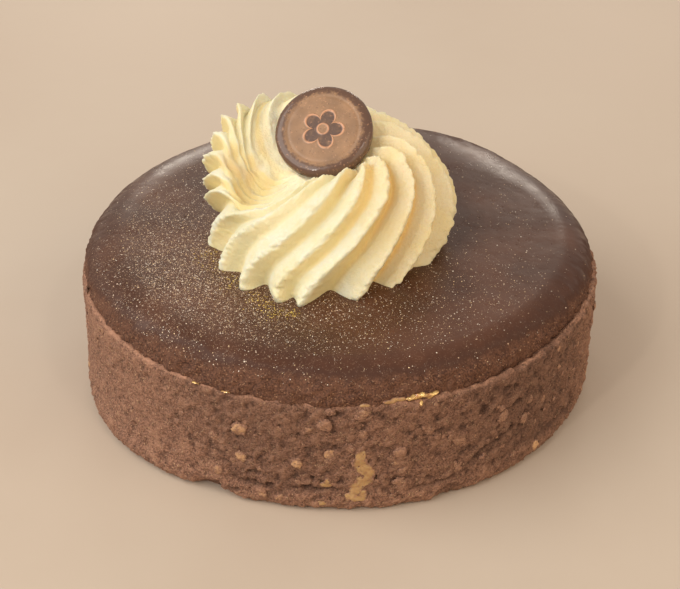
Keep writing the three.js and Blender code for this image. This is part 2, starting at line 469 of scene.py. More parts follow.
def makeCrust():
    height, rows = crust.height, crust.rows
    wallHeight = height - crust.wallEnds
    wallLine = [(crust.radius, crust.wallFrom + wallHeight * i / rows) for i in range(rows + 1)]
    section = [*crust.footLine, *wallLine, *crust.rimLine]
    piece = spinSection("crust_shell", section, crust.steps)
    points = readPoints(piece)
    flat = flatOf(points)
    azimuth = azimuthOf(points)
    level = points[:, 2].copy()
    rim = ramp(flat, *crust.rimFade) * ramp(level, height - 0.4, height - 0.05)
    # the crumb stands out on the wall alone, and is finer towards the left
    wall = piece.vertex_groups.new(name="wall")
    share = ramp(flat, *crust.crumbFade) * (1 - 0.75 * rim) * around(azimuth, *crust.crumbShare)
    for index, weight in enumerate(share):
        wall.add([index], float(weight), "REPLACE")
    wobble = softNoise(points, *crust.wobble)
    push = wallPush(flat, azimuth, level, wobble)
    widen(points, 1 + push / np.maximum(flat, 1))
    points[:, 2] += around(azimuth, *crust.rimRise) * level / height * ramp(flat, *crust.riseFade)
    flaky = layeredNoise(points, crust.flakes)
    points[:, 2] += rim * around(azimuth, *crust.rimRough) * flaky
    split = np.exp(-((flat - crust.splitRadius) / crust.splitWidth) ** 2) * rim
    split = split * lift(azimuth, *crust.split) * ramp(flaky, -0.4, 0.3)
    points[:, 2] -= crust.splitDepth * split
    writePoints(piece, points)
    before = flatOf(points)
    for kind, size, rise in (
        ("CLOUDS", crust.lumpSize, crust.lumpHeight),
        ("STUCCI", crust.crumbSize, crust.crumbHeight),
    ):
        texture = bpy.data.textures.new("crumb" + kind.title(), kind)
        texture.noise_scale = size * mm
        settings = {"texture": texture, "strength": rise * mm, "mid_level": 0.5, "vertex_group": "wall"}
        applyModifier(piece, "DISPLACE", texture_coords="LOCAL", direction="NORMAL", **settings)
    points = readPoints(piece)
    points[:, 2] = np.maximum(points[:, 2], 0)
    writePoints(piece, points)
    # how far the crumb moved out or in, kept for painted light on raised crumb and painted shade in its
    # recesses
    reliefLightShade = flatOf(points) - before
    addMask(piece, "reliefLightShade", np.clip(0.5 + reliefLightShade / crust.reliefSpan, 0, 1))
    # painted shade: the wall is laid darker where it is pushed in, in its cracks, pits and chips
    addMask(piece, "hollow", np.clip((0.2 - push) / 0.8, 0, 1))
    # the rim mask: its paler crumb with a painted highlight along the lit edge, broken where the rim is
    # split
    addMask(piece, "rim", rim * around(azimuth, *crust.rimPaleAndLit) * (1 - 0.9 * split))
    # painted light: the crust is laid paler along its foot, a bright band of light reflected up onto its
    # lower edge
    addMask(piece, "foot", 1 - ramp(level, *crust.footLightTop))
    return dress(piece, crustMaterial(), "crust")


def wallPush(flat, azimuth, level, wobble):
    # how far the wall stands out from a plain drum, with its lip, cracks, pits and chips
    waves = crust.outOfRound
    push = sum(size * np.sin(np.radians(count * azimuth) + shift) for size, count, shift in waves)
    lip = around(azimuth, *crust.lip) * (1 - ramp(level + 0.8 * wobble, *crust.lipTop))
    flare = around(azimuth, *crust.flare) * (1 - ramp(level, *crust.flareTop))
    push = (push + crust.lipSize * lip + flare) * ramp(flat, *crust.pushFade)
    for start, low, end, high, depth, width in crust.cracks:
        along = wrapped(azimuth - start) / (end - start)
        line = low + (high - low) * along + 0.7 * wobble
        taper = ramp(along, -0.05, 0.2) * (1 - ramp(along, 0.8, 1.05))
        push -= depth * taper * np.exp(-((level - line) / width) ** 2) * (0.6 + 0.6 * np.abs(wobble))
    pick = random.Random(14)
    pocks = [pickWithin(pick, crust.pockRange) for _ in range(crust.pocks)]
    for at, low, depth, width in (*crust.pits, *pocks):
        away = (sideways(azimuth, at) + 0.4 * wobble) ** 2 + (level - low + 0.3 * wobble) ** 2
        push -= depth * np.exp(-away / width ** 2)
    for at, depth, width in crust.chips:
        chip = np.exp(-((sideways(azimuth, at) + 0.8 * wobble) / width) ** 4)
        push -= depth * chip * (1 - ramp(level, *crust.chipTop)) * ramp(flat, *crust.chipFade)
    return np.where(flat > crust.pushFrom, push, 0)


def crustMaterial():
    material, tree, shader, place = newMaterial("cocoa_crust")
    sand = addGrain(tree, place, 0.3, 0.16, 0.05)
    crumb = addGrain(tree, place, 0.9, 0.14, 0.07)
    cloud = cloudNoise(tree, place, 9.0)
    lumps = cloudNoise(tree, place, 2.2)
    reliefLightShade = maskOf(tree, "reliefLightShade")
    rimPaleAndLitShare = rescale(tree, calculate(tree, "MULTIPLY", maskOf(tree, "rim"), sand["Mottle"]), 0.2, 0.55)
    rimPaleAndLitShare = calculate(tree, "MULTIPLY", rimPaleAndLitShare, rescale(tree, lumps, 0.36, 0.62, 0.2, 1.0))
    footLightShare = rescale(tree, sand["Mottle"], 0.3, 0.7, 0.1, 0.6)
    base = coatOver(
        tree, mixColours(tree, sand["Grain"], crust.dark, crust.middle),
        (cloud, 0.35, 0.75, crust.middle, 0.3),
        (lumps, 0.5, 0.72, crust.pale, 0.45),
        (lumps, 0.45, 0.28, crust.dark, 0.4),
        (crumb["Specks"], 0.4, crust.pale),
        (sand["Specks"], 0.8, crust.speck),
        # painted shade in the small pits of the grain and crumb
        (sand["Pits"], 0.5, crust.pitShade),
        (crumb["Pits"], 0.35, crust.pitShade),
        # painted shade in the crumb's recesses and painted light on its raised bits
        (reliefLightShade, 0.48, 0.15, crust.pitShade, 0.6),
        (reliefLightShade, 0.54, 0.85, crust.pale, 0.6),
        # painted shade in the cracks, pits and chips
        (maskOf(tree, "hollow"), 0.75, crust.pitShade),
        # the rim's paler crumb with a painted highlight along its lit edge
        (rimPaleAndLitShare, 0.65, crust.rim),
        # painted light along the foot
        (maskOf(tree, "foot"), footLightShare, crust.pale),
    )
    height = calculate(tree, "ADD", sand["Height"], calculate(tree, "MULTIPLY", crumb["Height"], 0.8))
    rough = mixValues(tree, rimPaleAndLitShare, rescale(tree, sand["Mottle"], 0.2, 0.8, 0.7, 0.9), 0.42)
    setShader(
        tree, shader, Base_Color=base, Roughness=rough, Specular_IOR_Level=0.35,
        Normal=bumpFrom(tree, height, 1.0, 0.3),
    )
    return material


# glaze: smooth chocolate cap whose rounded shoulder thins out over the rim

glaze = SimpleNamespace(
    top=25.8,
    under=20.35,
    underRings=(0, 20, 43.4),
    # the shoulder is drawn as a slope from this radius and height, and then bent into its arc
    slopeFrom=(44, 21),
    slopeRun=2,
    slopeRise=4,
    shoulderRows=44,
    flatRadius=30,
    flatRings=12,
    steps=860,
    # each a mean, and rises round the tart with a size, a direction and a width
    radius=(44.8, (-0.35, 218, 46), (-1.6, -42, 30), (0.3, 100, 65)),
    shoulder=(6.0, (6.4, 56, 24), (2.2, 142, 36)),
    shoulderFrom=43.6,
    crumbly=(0.5, (0.5, -90, 66)),
    # how deep the edge lies in the rim, how far it rises with it, and how it dips where it falls short
    sunk=0.08,
    followsRim=0.95,
    tuck=0.35,
    tuckRadius=44.6,
    # strength, size and seed of each layer
    ragged=((0.3, 3.0, 17), (0.25, 1.1, 19)),
    waves=((0.07, 11.0, 2), (0.02, 4.0, 5)),
    grit=0.3,
    gritLayers=((1, 1.3, 7), (0.8, 0.65, 15)),
    dark=colour(66, 38, 25),
    middle=colour(87, 54, 38),
    ridge=colour(69, 40, 27),
    bandDark=colour(66, 40, 29),
    band=colour(109, 73, 54),
    bandSpeck=colour(170, 128, 98),
    dust=colour(176, 144, 120),
    haze=colour(150, 112, 88),
    roughness=0.31,
)


def makeGlaze():
    top, under = glaze.top, glaze.under
    rows, rings = glaze.shoulderRows, glaze.flatRings
    outer, slopeLow = glaze.slopeFrom
    run, rise = glaze.slopeRun, glaze.slopeRise
    section = [(ring, under) for ring in glaze.underRings]
    section += [(outer - run * i / rows, slopeLow + rise * i / rows) for i in range(rows + 1)]
    section += [(ring * glaze.flatRadius / rings, top) for ring in range(rings, -1, -1)]
    piece = spinSection("glaze_cap", section, glaze.steps)
    points = readPoints(piece)
    flat = flatOf(points)
    azimuth = azimuthOf(points)
    onShoulder = (points[:, 2] > slopeLow - 0.1) & (flat > glaze.flatRadius + 1)
    turn = np.where(onShoulder, (points[:, 2] - slopeLow) / rise, 1) * math.pi / 2
    crumbly = around(azimuth, *glaze.crumbly)
    radius = around(azimuth, *glaze.radius) + layeredNoise(points, glaze.ragged) * crumbly
    low = crust.height - glaze.sunk + glaze.followsRim * around(azimuth, *crust.rimRise)
    low -= glaze.tuck * np.maximum(glaze.tuckRadius - radius, 0)
    width = around(azimuth, *glaze.shoulder) + radius - glaze.shoulderFrom
    reach = np.where(onShoulder, radius - width * (1 - np.cos(turn)), flat)
    widen(points, np.where(flat > 1, reach / np.maximum(flat, 1), 1))
    points[:, 2] = np.where(onShoulder, low + (top - low) * np.sin(turn), points[:, 2])
    points[:, 2] += np.where(points[:, 2] > under + 0.15, layeredNoise(points, glaze.waves), 0)
    edge = np.where(onShoulder, 1 - np.clip(turn / (math.pi / 2), 0, 1), 0) * crumbly
    gritty = glaze.grit * ramp(edge, 0.4, 0.6) * layeredNoise(points, glaze.gritLayers)
    widen(points, 1 + gritty / radius)
    points[:, 2] += gritty
    writePoints(piece, points)
    addMask(piece, "edge", edge)
    addMask(piece, "dusted", dustAt(points[:, 0], points[:, 1]))
    return dress(piece, glazeMaterial(), "glaze")


def dustAt(x, y):
    # how thickly the shimmer lies, from 0 to 1
    near = np.hypot(x - shimmer.thickest[0], y - shimmer.thickest[1]) / shimmer.spread
    thin = shimmer.elsewhere * (1 - 0.75 * ramp(x + y, 0, 30))
    return thin + (1 - thin) * np.exp(-near * near)


def glazeMaterial():
    material, tree, shader, place = newMaterial("chocolate_glaze")
    sand = addGrain(tree, place, 0.3, 0.16, 0.06)
    dust = addGrain(tree, place, 0.22, 0.2, 0.0)
    cloud = cloudNoise(tree, place, 14.0, 3.0)
    small = cloudNoise(tree, place, 3.0)
    edge = unevenMask(tree, "edge", small, 0.06)
    band = rescale(tree, edge, 0.4, 0.58)
    dusted = maskOf(tree, "dusted")
    smooth = coatOver(
        tree, glaze.dark,
        (cloud, 0.3, 0.7, glaze.middle),
        (edge, 0.18, 0.42, glaze.ridge),
        (dusted, 0.2, 1.0, glaze.haze, 0.03),
        (calculate(tree, "MULTIPLY", dust["Specks"], dusted), 0.8, glaze.dust),
    )
    grainy = coatOver(
        tree, mixColours(tree, sand["Grain"], glaze.bandDark, glaze.band),
        (small, 0.35, 0.65, glaze.band, 0.4),
        (sand["Specks"], 0.8, glaze.bandSpeck),
        # painted shade in the band's small pits
        (sand["Pits"], 0.5, crust.pitShade),
    )
    rough = rescale(tree, small, 0.25, 0.75, glaze.roughness - 0.05, glaze.roughness + 0.06)
    rough = mixValues(tree, rescale(tree, edge, 0.25, 0.5), rough, 0.8)
    height = mixValues(tree, band, calculate(tree, "MULTIPLY", small, 0.3), sand["Height"])
    setShader(
        tree, shader, Base_Color=mixColours(tree, band, smooth, grainy), Roughness=rough,
        Specular_IOR_Level=0.3, Normal=bumpFrom(tree, height, 0.9, 0.25),
    )
    return material


# cream: one piped swirl, its ridges wound from the foot up to the disc

cream = SimpleNamespace(
    centre=(-2.0, -1.5),
    floor=25.8,
    # azimuth of each ridge's foot, share of the way to the next at which the valley lies, late bend,
    # hook into the hollow, and how much of the ridge carries on above the foot
    ridges=(
        (-58, 0.6, 1.0, 0, 1), (-30, 0.55, 1.0, 0, 1), (-12, 0.5, 1.0, 0, 1), (6, 0.5, 1.0, 4, 1),
        (24, 0.5, 1.0, 8, 0.2), (42, 0.5, 1.0, 12, 0.6), (60, 0.5, 1.0, 17, 1), (73, 0.5, 1.0, 18, 0),
        (86, 0.5, 1.0, 19, 1), (105, 0.5, 1.0, 10, 1), (116, 0.5, 1.0, 3, 1), (126, 0.5, 1.0, 4, 1),
        (137, 0.5, 1.0, 1, 1), (148, 0.5, 1.0, 2, 1), (160, 0.4, 1.05, 2, 1), (191, 0.5, 1.5, 0, 1),
        (214, 0.42, 1.95, 0, 1), (233, 0.4, 1.6, 0, 1), (251, 0.5, 1.5, 0, 1), (259.5, 0.5, 1.1, 0, 1),
        (283, 0.65, 1.1, 0, 1),
    ),
    ridgeSteps=24,
    rows=150,
    ridgeDepth=1.35,
    turn=104,
    sway=(1, (5, 259, 30)),
    swayTop=0.62,
    hook=70,
    # radius and height of the section from foot to middle, each a mean with rises round the swirl
    section=(
        ((18.7, (3.6, 243, 42), (0.6, 30, 40), (-1, 150, 35), (0.8, 187, 20)), (0,)),
        ((20.2, (-1.5, 305, 35), (1.2, 20, 40), (3, 146, 24), (-1.5, 205, 28)), (5.4, (3.6, 112, 70))),
        ((17.5, (-2.2, 282, 52), (0.9, 162, 30)), (13, (6.4, 142, 46), (1.2, 50, 40), (-3.8, 207, 38))),
        ((11.7, (1.5, 145, 50), (-1.7, 283, 48)), (17, (3.6, 112, 55), (-8.2, 200, 42))),
        ((5.4, (0.6, 145, 50), (-0.4, 275, 50)), (14.6, (3, 75, 40), (-2.0, 185, 45))),
        ((0,), (13.5,)),
    ),
    strength=(0.92, (0.12, 310, 35), (-0.5, 236, 38), (-0.12, 70, 50), (0.45, 168, 24)),
    fade=(1, 1.1, 1.05, 0.85, 0.4, 0),
    footStrength=(0.7, (0.9, 262, 48)),
    calm=(0, (1.0, 158, 42), (0.3, 225, 35)),
    calmFrom=(0.3, (0.08, 145, 18)),
    calmDepth=0.28,
    crestRound=0.14,
    valleyRound=0.22,
    serration=0.4,
    ridgeVary=(0.85, 1.15),
    # strength, size and seed of each layer
    ragged=((1, 1.0, 4), (0.7, 0.5, 6)),
    grain=((0.13, 0.7, 8), (0.14, 3.4, 1)),
    brokenLayers=((0.8, 2.8, 12), (0.25, 1.2, 14)),
    hollow=(-16.0, -2.8, 38.6),
    hollowReach=5.8,
    # plan x and y, reach and strength of the dusty smear
    smears=(
        (-19.3, -1.4, 1.6, 0.6), (-17.1, -1.8, 1.8, 1.0), (-16.4, -4.0, 1.6, 0.9), (-15.3, -7.0, 1.5, 0.7),
        (-14.4, -0.5, 1.6, 0.7), (-13.8, 2.6, 1.4, 0.7), (-13.4, 5.5, 1.3, 0.5), (-12.2, -3.3, 1.2, 0.6),
        (-9.8, -5.2, 1.2, 0.6),
    ),
    # plan x and y, reach and depth
    dents=(
        (-16.0, -6.0, 1.9, 0.9), (-15.8, -8.6, 1.6, 0.7), (-13.2, -3.0, 1.3, 0.6), (-10.8, -1.8, 1.2, 0.6),
    ),
    sunkBelow=0.15,
    # what the disc presses down: share of its thickness, slope beside it, and gap and reach round it
    pressShare=0.8,
    pressSlope=2.0,
    pressGap=0.1,
    pressReach=2,
    # painted light: the cream close round the disc is laid paler, from and to these distances past its
    # rim, to lift the shade beside it
    paintedLightFrom=0.5,
    paintedLightTo=4.5,
    crest=colour(226, 225, 204),
    flank=colour(223, 216, 178),
    # painted shade: the valley colour is laid on the shaded flanks and valleys, in the dents and in the
    # broken hollow
    valley=colour(231, 210, 145),
    # painted shade: the deeper yellow laid where the swirl turns away from the light
    deep=colour(231, 192, 116),
    smear=colour(214, 180, 128),
    # painted light: the paler colour laid round the disc
    paintedLight=colour(252, 239, 203),
)


def catmull(values, share):
    # smooth curve through the rows of values, with its slope
    last = len(values) - 1
    place = np.clip(share, 0, 1) * last
    low = np.minimum(place.astype(int), last - 1)
    part = place - low
    column = np.arange(values.shape[1])
    before = values[np.maximum(low - 1, 0), column]
    start = values[low, column]
    end = values[low + 1, column]
    after = values[np.minimum(low + 2, last), column]
    startSlope = (end - before) / 2
    endSlope = (after - start) / 2
    cubic = 2 * start - 2 * end + startSlope + endSlope
    square = -3 * start + 3 * end - 2 * startSlope - endSlope
    curve = ((cubic * part + square) * part + startSlope) * part + start
    return curve, (3 * cubic * part + 2 * square) * part + startSlope


def rounded(fall, radius):
    # a straight fall from 0 to 1 with its start rounded off
    return (np.sqrt(fall ** 2 + radius ** 2) - radius) / (math.sqrt(1 + radius ** 2) - radius)


def ridgeTable():
    # the columns of the ridges, with the first ridge again a full turn on
    columns = np.array((*cream.ridges, cream.ridges[0])).T
    columns[0, -1] += 360
    return columns


def windRidges(count, rise):
    # azimuths of a ridge's foot, and of the ridge itself as it winds up
    feet, _, bends, hooks, _ = ridgeTable()
    number = np.arange(len(feet))
    foot = np.interp(count, number, feet)
    azimuth = foot + cream.turn * rise ** np.interp(count, number, bends)
    sway = np.sin(2 * math.pi * np.minimum(rise / cream.swayTop, 1))
    azimuth -= around(foot, *cream.sway) * sway
    azimuth += cream.hook * np.maximum(0, rise - 0.5) ** 1.3
    azimuth += np.interp(count, number, hooks) * ramp(rise, 0.4, 0.6)
    return foot, azimuth


def ridgeForm(count, rise, azimuth):
    # each ridge has a sharp crest, a shaded flank after it and a rounded valley before the next
    feet, valleys, _, _, carried = ridgeTable()
    after = np.minimum(np.floor(count + 1e-6), len(cream.ridges) - 1).astype(int)
    across = np.clip(count - after, 0, 1)
    valley = valleys[after]
    onShaded = across < valley
    down = np.where(onShaded, across / valley, (1 - across) / (1 - valley))
    fall = 1 - rounded(1 - rounded(down, cream.crestRound), cream.valleyRound)
    calmFrom = around(azimuth, *cream.calmFrom)
    calm = np.clip(around(azimuth, *cream.calm), 0, 1) * ramp(rise - calmFrom, 0, 0.16)
    fall += calm * (0.5 - 0.5 * np.cos(math.pi * down) - fall)
    lost = (1 - np.where(onShaded, carried[after], carried[after + 1])) * ramp(rise, 0.22, 0.4)
    fall = 1 - (1 - lost) * (1 - fall)
    wave = 0.85 - 2 * fall * np.clip(np.diff(feet)[after] / 15, 0.6, 1.1)
    # painted shade: this mask marks the flank after each crest and the valley, where the valley colour is
    # laid
    shaded = np.where(onShaded, ramp(down, 0.0, 0.3), ramp(down, 0.6, 1.0))
    return wave, down, shaded, lost, calm


def spotsOn(place, rise, spots):
    # soft round spots on the upper part of the swirl
    total = np.zeros(len(rise))
    for x, y, reach, strength in spots:
        away = (place[:, 0] - x) ** 2 + (place[:, 1] - y) ** 2
        total += strength * np.exp(-away / reach ** 2) * ramp(rise, 0.3, 0.4)
    return total


def pressUnderDisc(points):
    # the disc has sunk in: what would stand above its underside is pressed down and out
    normal = np.array(discNormal)
    fromFace = points - np.array(disc.centre)
    above = fromFace @ normal
    beside = np.linalg.norm(fromFace - above[:, None] * normal, axis=1)
    clear = np.maximum(0, beside - disc.radius - cream.pressGap)
    most = -cream.pressShare * disc.thickness + cream.pressSlope * clear
    pressed = np.minimum(above, most)
    near = beside < disc.radius + cream.pressReach
    points += np.where(near, pressed - above, 0)[:, None] * normal
    return beside


def makeCream():
    ridges, rows = len(cream.ridges), cream.rows
    columns = ridges * cream.ridgeSteps
    deselectAll()
    bpy.ops.mesh.primitive_grid_add(x_subdivisions=columns, y_subdivisions=rows, size=1)
    piece = bpy.context.object
    piece.name = piece.data.name = "cream_swirl"
    # the grid is rolled up: x runs round the swirl and y from foot to middle
    sheet = readPoints(piece) * mm + 0.5
    count, row = sheet[:, 0] * ridges, sheet[:, 1] * rows
    rise = np.clip((row - 1) / (rows - 1), 0, 1)
    foot, azimuth = windRidges(count, rise)
    radii = np.stack([around(azimuth, *ring[0]) + 0 * azimuth for ring in cream.section])
    heights = np.stack([around(azimuth, *ring[1]) + 0 * azimuth for ring in cream.section])
    radius, radiusSlope = catmull(radii, rise)
    height, heightSlope = catmull(heights, rise)
    slope = np.maximum(np.hypot(radiusSlope, heightSlope), 1e-6)
    fade, _ = catmull(np.repeat(np.array(cream.fade, float)[:, None], len(rise), 1), rise)
    wave, down, shaded, lost, calm = ridgeForm(count, rise, azimuth)
    vary = random.Random(5)
    sizes = np.array([vary.uniform(*cream.ridgeVary) for _ in range(ridges)])
    ridgeSize = sizes[np.round(count).astype(int) % ridges]
    crestShare = ramp(wave, -0.2, 0.75)
    turn = np.radians(azimuth)
    rough = np.stack([radius * np.cos(turn), radius * np.sin(turn), height], 1)
    footStrength = around(foot, *cream.footStrength)
    strength = around(azimuth, *cream.strength)
    depth = cream.ridgeDepth * fade * (footStrength + (strength - footStrength) * ramp(rise, 0, 0.3))
    depth *= 1 - (1 - cream.calmDepth) * calm
    depth *= 1 - 0.65 * calm * ramp(rise, 0.5, 0.68)
    depth *= 1 + (ridgeSize - 1) * crestShare
    serrated = cream.serration * layeredNoise(rough, cream.ragged) * crestShare
    out = depth * wave + serrated * np.clip(fade, 0, 1) * (1 - 0.8 * calm)
    out += layeredNoise(rough, cream.grain)
    # the ridges are broken up and dented in the hollow on the left
    place = rough + np.array((*cream.centre, cream.floor))
    broken = np.exp(-np.sum((place - np.array(cream.hollow)) ** 2, 1) / cream.hollowReach ** 2)
    out = out * (1 - 0.95 * broken) + broken * layeredNoise(rough, cream.brokenLayers)
    dented = spotsOn(place, rise, cream.dents)
    out -= dented
    radius = radius + heightSlope / slope * out
    height = np.maximum(height - radiusSlope / slope * out, 0)
    radius = np.where((row < 0.5) | (rise >= 1), 0, radius)
    height = np.where(row < 1.5, -cream.sunkBelow, height)
    points = np.stack([
        cream.centre[0] + radius * np.cos(turn),
        cream.centre[1] + radius * np.sin(turn),
        cream.floor + height,
    ], 1)
    beside = pressUnderDisc(points)
    writePoints(piece, points)
    # painted shade: the valley colour goes on flanks and valleys, less on the left that faces the light,
    # where ridges are lost, and in the hollow and its dents
    shaded = shaded * np.clip(fade, 0, 1) * around(azimuth, 1, (-0.45, 225, 50)) * (1 - 0.6 * calm)
    hollowShade = 0.9 * broken * (0.6 + softNoise(rough, 2.0, 16)) + 0.7 * dented
    smear = spotsOn(place, rise, cream.smears) * (0.75 + 0.9 * softNoise(rough, 1.5, 18))
    # painted shade: the side turned away from the light is laid with a deeper yellow, less of it high up
    paintedShadeAway = ramp(np.cos(turn + math.radians(12)), 0.15, 0.9) * (1 - ramp(rise, 0.75, 0.95))
    # painted light: paler colour near the disc, where the swirl lies in shade
    paintedLight = 1 - ramp(beside, disc.radius + cream.paintedLightFrom, disc.radius + cream.paintedLightTo)
    addMask(piece, "shaded", np.clip(np.maximum(shaded, lost * (1 - down)) + hollowShade, 0, 1))
    addMask(piece, "smear", np.clip(smear, 0, 1))
    addMask(piece, "awayShade", paintedShadeAway)
    addMask(piece, "paintedLight", paintedLight)
    closeUp(piece)
    return dress(piece, creamMaterial(), "cream")


def creamMaterial():
    material, tree, shader, place = newMaterial("vanilla_cream")
    cloud = cloudNoise(tree, place, 5.0)
    fine = cloudNoise(tree, place, 0.42, 5.0, 0.6)
    shade = unevenMask(tree, "shaded", cloud, 0.15)
    away = maskOf(tree, "awayShade")
    # painted shade: the valley colour deepens on the side turned away from the light
    valley = tint(tree, cream.valley, away, 0.75, cream.deep)
    base = coatOver(
        tree, cream.flank,
        (cloud, 0.3, 0.7, cream.crest),
        # painted shade: the valley colour over the shaded flanks, valleys, dents and hollow
        (shade, 0.1, 1.0, valley, 0.87),
        # painted shade: more of the valley colour on the side turned away from the light, mostly off the
        # crests
        (away, rescale(tree, shade, 0.0, 0.7, 0.35, 0.5), valley),
        # painted light: paler cream round the disc
        (maskOf(tree, "paintedLight"), 0.55, cream.paintedLight),
        (maskOf(tree, "smear"), 0.6, cream.smear),
        (fine, 0.35, 0.65, valley, 0.12),
    )
    setShader(
        tree, shader, Base_Color=base, Roughness=rescale(tree, fine, 0.3, 0.7, 0.5, 0.65),
        Specular_IOR_Level=0.3, Subsurface_Weight=0.3, Subsurface_Radius=(1.0, 0.75, 0.45),
        Subsurface_Scale=1.2 * mm, Normal=bumpFrom(tree, fine, 0.9, 0.2),
    )
    return material


# disc: chocolate button with a rounded edge and a blossom pressed into its face

disc = SimpleNamespace(
    radius=8.4,
    thickness=2.7,
    centre=(-3.1, 0.6, 45.1),
    normal=(-0.16, -0.6, 0.78),
    steps=288,
    # the lower corner is round, and the upper one wider than it is high
    lowerCorner=1.0,
    lowerSteps=12,
    upperWidth=1.5,
    upperHeight=1.1,
    upperSteps=16,
    crownFrom=1.7,
    crown=0.1,
    rings=60,
    groove=6.1,
    grooveWidth=0.28,
    petals=5,
    blossom=3.6,
    eye=0.95,
    lineWidth=0.2,
    lineHeight=0.1,
    fillDepth=0.05,
    grooveDepth=0.05,
    edgeFade=(5.9, 7.6),
    face=colour(160, 124, 93),
    faceDark=colour(138, 107, 81),
    edge=colour(98, 72, 58),
    line=colour(200, 148, 114),
    fill=colour(92, 70, 60),
)
discNormal = Vector(disc.normal).normalized()


def makeDisc():
    radius, low = disc.radius, -disc.thickness
    corner, wide, high = disc.lowerCorner, disc.upperWidth, disc.upperHeight
    section = [(0, low), (4, low), (radius - 1.2, low)]
    for i in range(1, disc.lowerSteps + 1):
        turn = math.radians(90 * i / disc.lowerSteps)
        section.append((radius - corner + corner * math.sin(turn), low + corner - corner * math.cos(turn)))
    for i in range(1, disc.upperSteps + 1):
        turn = math.radians(90 * i / disc.upperSteps)
        section.append((radius - wide + wide * math.cos(turn), -high + high * math.sin(turn)))
    rings, crown = disc.rings, disc.crown
    crownRadius = radius - disc.crownFrom
    section += [(crownRadius * (1 - i / rings), crown * i / rings) for i in range(rings + 1)]
    piece = spinSection("disc_button", section, disc.steps)
    points = readPoints(piece)
    flat = flatOf(points)
    turn = np.arctan2(points[:, 1], points[:, 0])
    onFace = points[:, 2] > -0.2
    petal = disc.blossom * (0.5 + 0.5 * np.abs(np.cos(disc.petals * turn / 2 + 0.35)) ** 0.7)
    wear = 0.5 + 0.5 * softNoise(points, 1.3, 3)
    toLine = np.minimum(np.abs(flat - petal) * 0.75, np.abs(flat - disc.eye))
    line = (1 - ramp(toLine, 0.5 * disc.lineWidth, disc.lineWidth)) * onFace
    fill = ((flat < petal) & (flat > disc.eye) & onFace) * ramp(petal - flat, 0, 0.2)
    groove = np.exp(-((flat - disc.groove) / disc.grooveWidth) ** 2) * onFace
    raised = disc.lineHeight * line * (0.6 + 0.6 * wear)
    points[:, 2] += raised - disc.fillDepth * fill - disc.grooveDepth * groove
    points[:, 2] += np.where(onFace, 0.02 * softNoise(points, 1.6, 5), 0)
    rubbed = np.where(points[:, 2] < -0.12, 0.06 * softNoise(points, 1.2, 8), 0)
    widen(points, 1 + rubbed / radius)
    addMask(piece, "line", line * ramp(wear, 0.15, 0.5))
    addMask(piece, "fill", fill * ramp(wear, 0.05, 0.4))
    addMask(piece, "edge", ramp(flat, *disc.edgeFade) * (points[:, 2] > -0.9) + (points[:, 2] <= -0.9))
    lean = np.array(Vector((0, 0, 1)).rotation_difference(discNormal).to_matrix())
    writePoints(piece, points @ lean.T + np.array(disc.centre))
    return dress(piece, discMaterial(), "disc")


def discMaterial():
    material, tree, shader, place = newMaterial("bronze_chocolate")
    sand = addGrain(tree, place, 0.3, 0.12, 0.1)
    cloud = cloudNoise(tree, place, 3.5)
    edge = unevenMask(tree, "edge", sand["Mottle"], 0.25)
    fillShare = rescale(tree, sand["Mottle"], 0.2, 0.6, 0.6, 1.0)
    base = coatOver(
        tree, disc.faceDark,
        (cloud, 0.3, 0.7, disc.face),
        (edge, 0.2, 0.85, disc.edge),
        (maskOf(tree, "fill"), fillShare, disc.fill),
        (maskOf(tree, "line"), 1.0, disc.line),
        (sand["Specks"], 0.4, disc.line),
        # painted shade in the small pits
        (sand["Pits"], 0.45, disc.edge),
    )
    rough = rescale(tree, sand["Mottle"], 0.25, 0.75, 0.28, 0.44)
    setShader(
        tree, shader, Base_Color=base, Roughness=mixValues(tree, maskOf(tree, "edge"), rough, 0.14),
        Specular_IOR_Level=0.5, Normal=bumpFrom(tree, sand["Height"], 0.2, 0.06),
    )
    return material


# nuggets: bits of nut and biscuit baked into the wall

nuggets = SimpleNamespace(
    # azimuth, height, half width and tone from dull to golden
    seen=(
        (-110, 14.5, 1.1, 0.72), (-110, 8.6, 0.95, 0.75), (-115, 5.2, 1.0, 0.6), (-98, 9.4, 1.0, 0.75),
        (-91.4, 11.6, 0.95, 0.7), (-92.4, 17.5, 1.0, 0.5), (-84.8, 19.6, 0.9, 0.6),
        (-84.7, 15.5, 0.95, 0.45), (-89.8, 14.6, 0.7, 0.5), (-77.3, 11.5, 1.0, 0.5),
        (-71.2, 14.9, 1.0, 0.4), (-64.4, 11.4, 1.1, 0.5), (-64.4, 5.7, 1.0, 0.4),
        (-77.1, 5.4, 0.9, 0.45), (-40.6, 11.2, 1.1, 0.5), (-47.1, 9.8, 0.9, 0.4),
        (-52.8, 6.3, 0.9, 0.35), (-53.8, 12.6, 0.9, 0.4), (-42.6, 2.5, 1.0, 0.95),
        (-125.3, 5.5, 0.7, 0.3), (-115.9, 11.5, 0.8, 0.4), (-101.5, 2.1, 0.7, 0.6),
        (-105.3, 2.5, 0.7, 0.6), (-76.7, 7.8, 0.6, 0.4), (-95.7, 16.3, 0.5, 0.6),
        (-163, 20.4, 0.9, 0.2), (-162, 16, 0.9, 0.2), (-12, 18, 0.8, 0.1), (-13, 13.6, 0.8, 0.1),
    ),
    unseen=46,
    # lowest and highest azimuth, height, half width and tone
    unseenRange=((-20, 225), (1.5, 18.5), (0.6, 1.1), (0.3, 0.9)),
    scattered=300,
    scatteredRange=((-180, 180), (0.8, 20.0)),
    smallest=0.25,
    largest=0.85,
    power=2.2,
    # thickness for the width, and how much of it stands out of the wall
    thickness=0.36,
    proud=0.65,
    scatteredProud=0.4,
    warm=colour(162, 119, 90),
    golden=colour(198, 152, 108),
)


